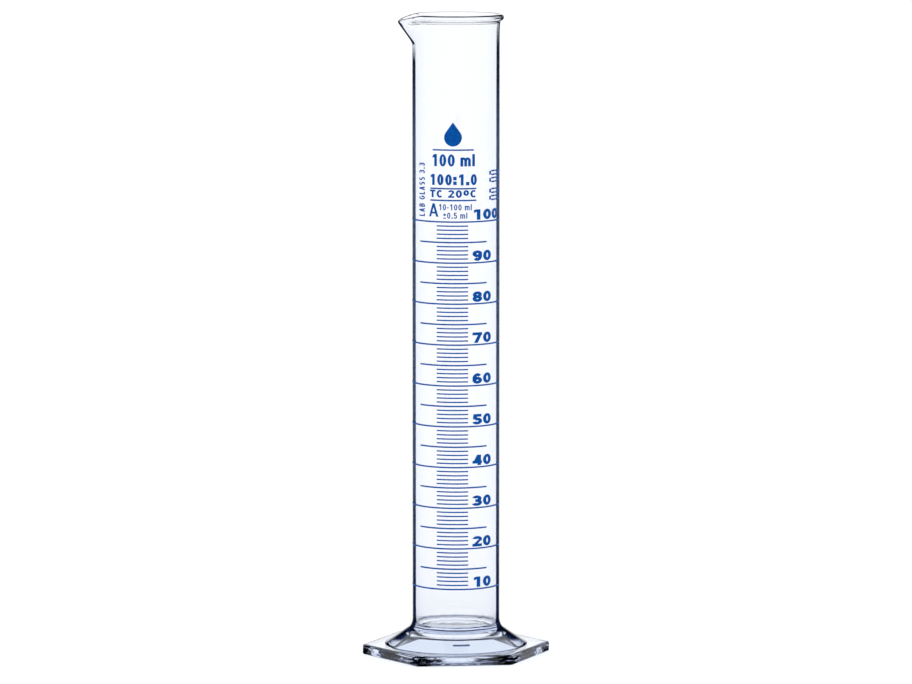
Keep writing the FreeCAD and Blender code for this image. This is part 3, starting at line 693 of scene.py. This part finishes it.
def enamel_material():
    """Fired blue enamel: a little uneven in colour and gloss, with a fine orange-peel surface."""
    material = bpy.data.materials.new("blue_enamel")
    g = Graph(material)
    place = g.place()
    peel = g.noise(place, ENAMEL_PEEL_SCALE, ENAMEL_PEEL_DETAIL)
    span = dict(zip(("From Min", "From Max", "To Min", "To Max"), ENAMEL_PEEL_SPAN + ENAMEL_ROUGHNESS))
    mottle = g.noise(place, ENAMEL_MOTTLE_SCALE, ENAMEL_MOTTLE_DETAIL)
    coat = g.shader(
        "BsdfPrincipled",
        {
            "Base Color": g.ramp(mottle, ENAMEL_STOPS),
            "Roughness": g.node("MapRange", {"Value": peel, **span}).outputs[0],
            "Specular IOR Level": ENAMEL_SPECULAR,
            "Normal": g.bump(peel, ENAMEL_PEEL_RELIEF),
        },
    )
    g.node("OutputMaterial", {"Surface": coat})
    return material


def paint_enamel():
    """The CAD marks stay as they are, with the enamel on them."""
    enamel = enamel_material()
    for node in frame["nodes"].values():
        if not node.hide_render:
            node.data.materials.clear()
            node.data.materials.append(enamel)


# ---------------------------------------------------------------- studio

CAMERA_DISTANCE = 2.0
CAMERA_HEIGHT = 0.343
CAMERA_AZIMUTH = -6.0
CAMERA_PITCH = 6.532
CAMERA_LENS = 219.0
CAMERA_CLIP = (0.1, 60.0)
SWEEP_DROP = 0.0002
SWEEP_RADIUS = 14.0
SWEEP_SIDES = 96
SWEEP_WHITE = (0.96, 0.96, 0.965)
WORLD_LIGHT = 1.12
BAND_DARK = (0.01, 0.015, 0.035)
WALLS = ((0.0, WHITE), (0.21, WHITE), (0.235, BAND_DARK), (0.33, BAND_DARK), (0.36, WHITE))
LIGHT_BOUNCES = 32
CLEAR_BOUNCES = 16


def make_camera():
    """A long lens a little above the rim, looking down at the middle of the vessel."""
    turn = math.radians(CAMERA_AZIMUTH)
    data = bpy.data.cameras.new("camera")
    data.lens = CAMERA_LENS
    data.clip_start, data.clip_end = CAMERA_CLIP
    camera = bpy.data.objects.new("camera", data)
    across, back = math.sin(turn) * CAMERA_DISTANCE, -math.cos(turn) * CAMERA_DISTANCE
    camera.location = (across, back, CAMERA_HEIGHT)
    camera.rotation_euler = (math.radians(90.0 - CAMERA_PITCH), 0.0, turn)
    bpy.context.scene.collection.objects.link(camera)
    bpy.context.scene.camera = camera


def make_sweep():
    """A plain white floor that fills the view."""
    turns = [math.tau * i / SWEEP_SIDES for i in range(SWEEP_SIDES)]
    rim = [(SWEEP_RADIUS * math.cos(t), SWEEP_RADIUS * math.sin(t), -SWEEP_DROP) for t in turns]
    mesh = bpy.data.meshes.new("floor")
    mesh.from_pydata(rim, [], [tuple(range(SWEEP_SIDES))])
    sweep = bpy.data.objects.new("floor", mesh)
    bpy.context.scene.collection.objects.link(sweep)
    material = bpy.data.materials.new("floor_white")
    g = Graph(material)
    g.node("OutputMaterial", {"Surface": g.shader("BsdfDiffuse", {"Color": (*SWEEP_WHITE, 1)})})
    mesh.materials.append(material)


def make_world():
    """White light all round, with a dark band that only bent and mirrored light finds."""
    world = bpy.data.worlds.new("studio")
    bpy.context.scene.world = world
    g = Graph(world)
    direction = g.node("TexCoord", {}).outputs["Generated"]
    walls = g.ramp(g.node("SeparateXYZ", {0: direction}).outputs["Z"], WALLS)
    path = g.node("LightPath", {}).outputs
    bent = g.math("MAXIMUM", path["Is Transmission Ray"], path["Is Glossy Ray"])
    light = g.shader("Background", {"Color": g.blend(bent, WHITE, walls), "Strength": WORLD_LIGHT})
    g.node("OutputWorld", {"Surface": light})


def set_light_paths():
    """Enough bounces for light to cross every wall of the glass."""
    scene = bpy.context.scene
    scene.view_settings.view_transform = "Standard"
    scene.cycles.max_bounces = LIGHT_BOUNCES
    scene.cycles.transmission_bounces = LIGHT_BOUNCES
    scene.cycles.glossy_bounces = CLEAR_BOUNCES
    scene.cycles.transparent_max_bounces = CLEAR_BOUNCES


set_light_paths()
make_camera()
make_world()
make_sweep()
make_glass()
paint_enamel()
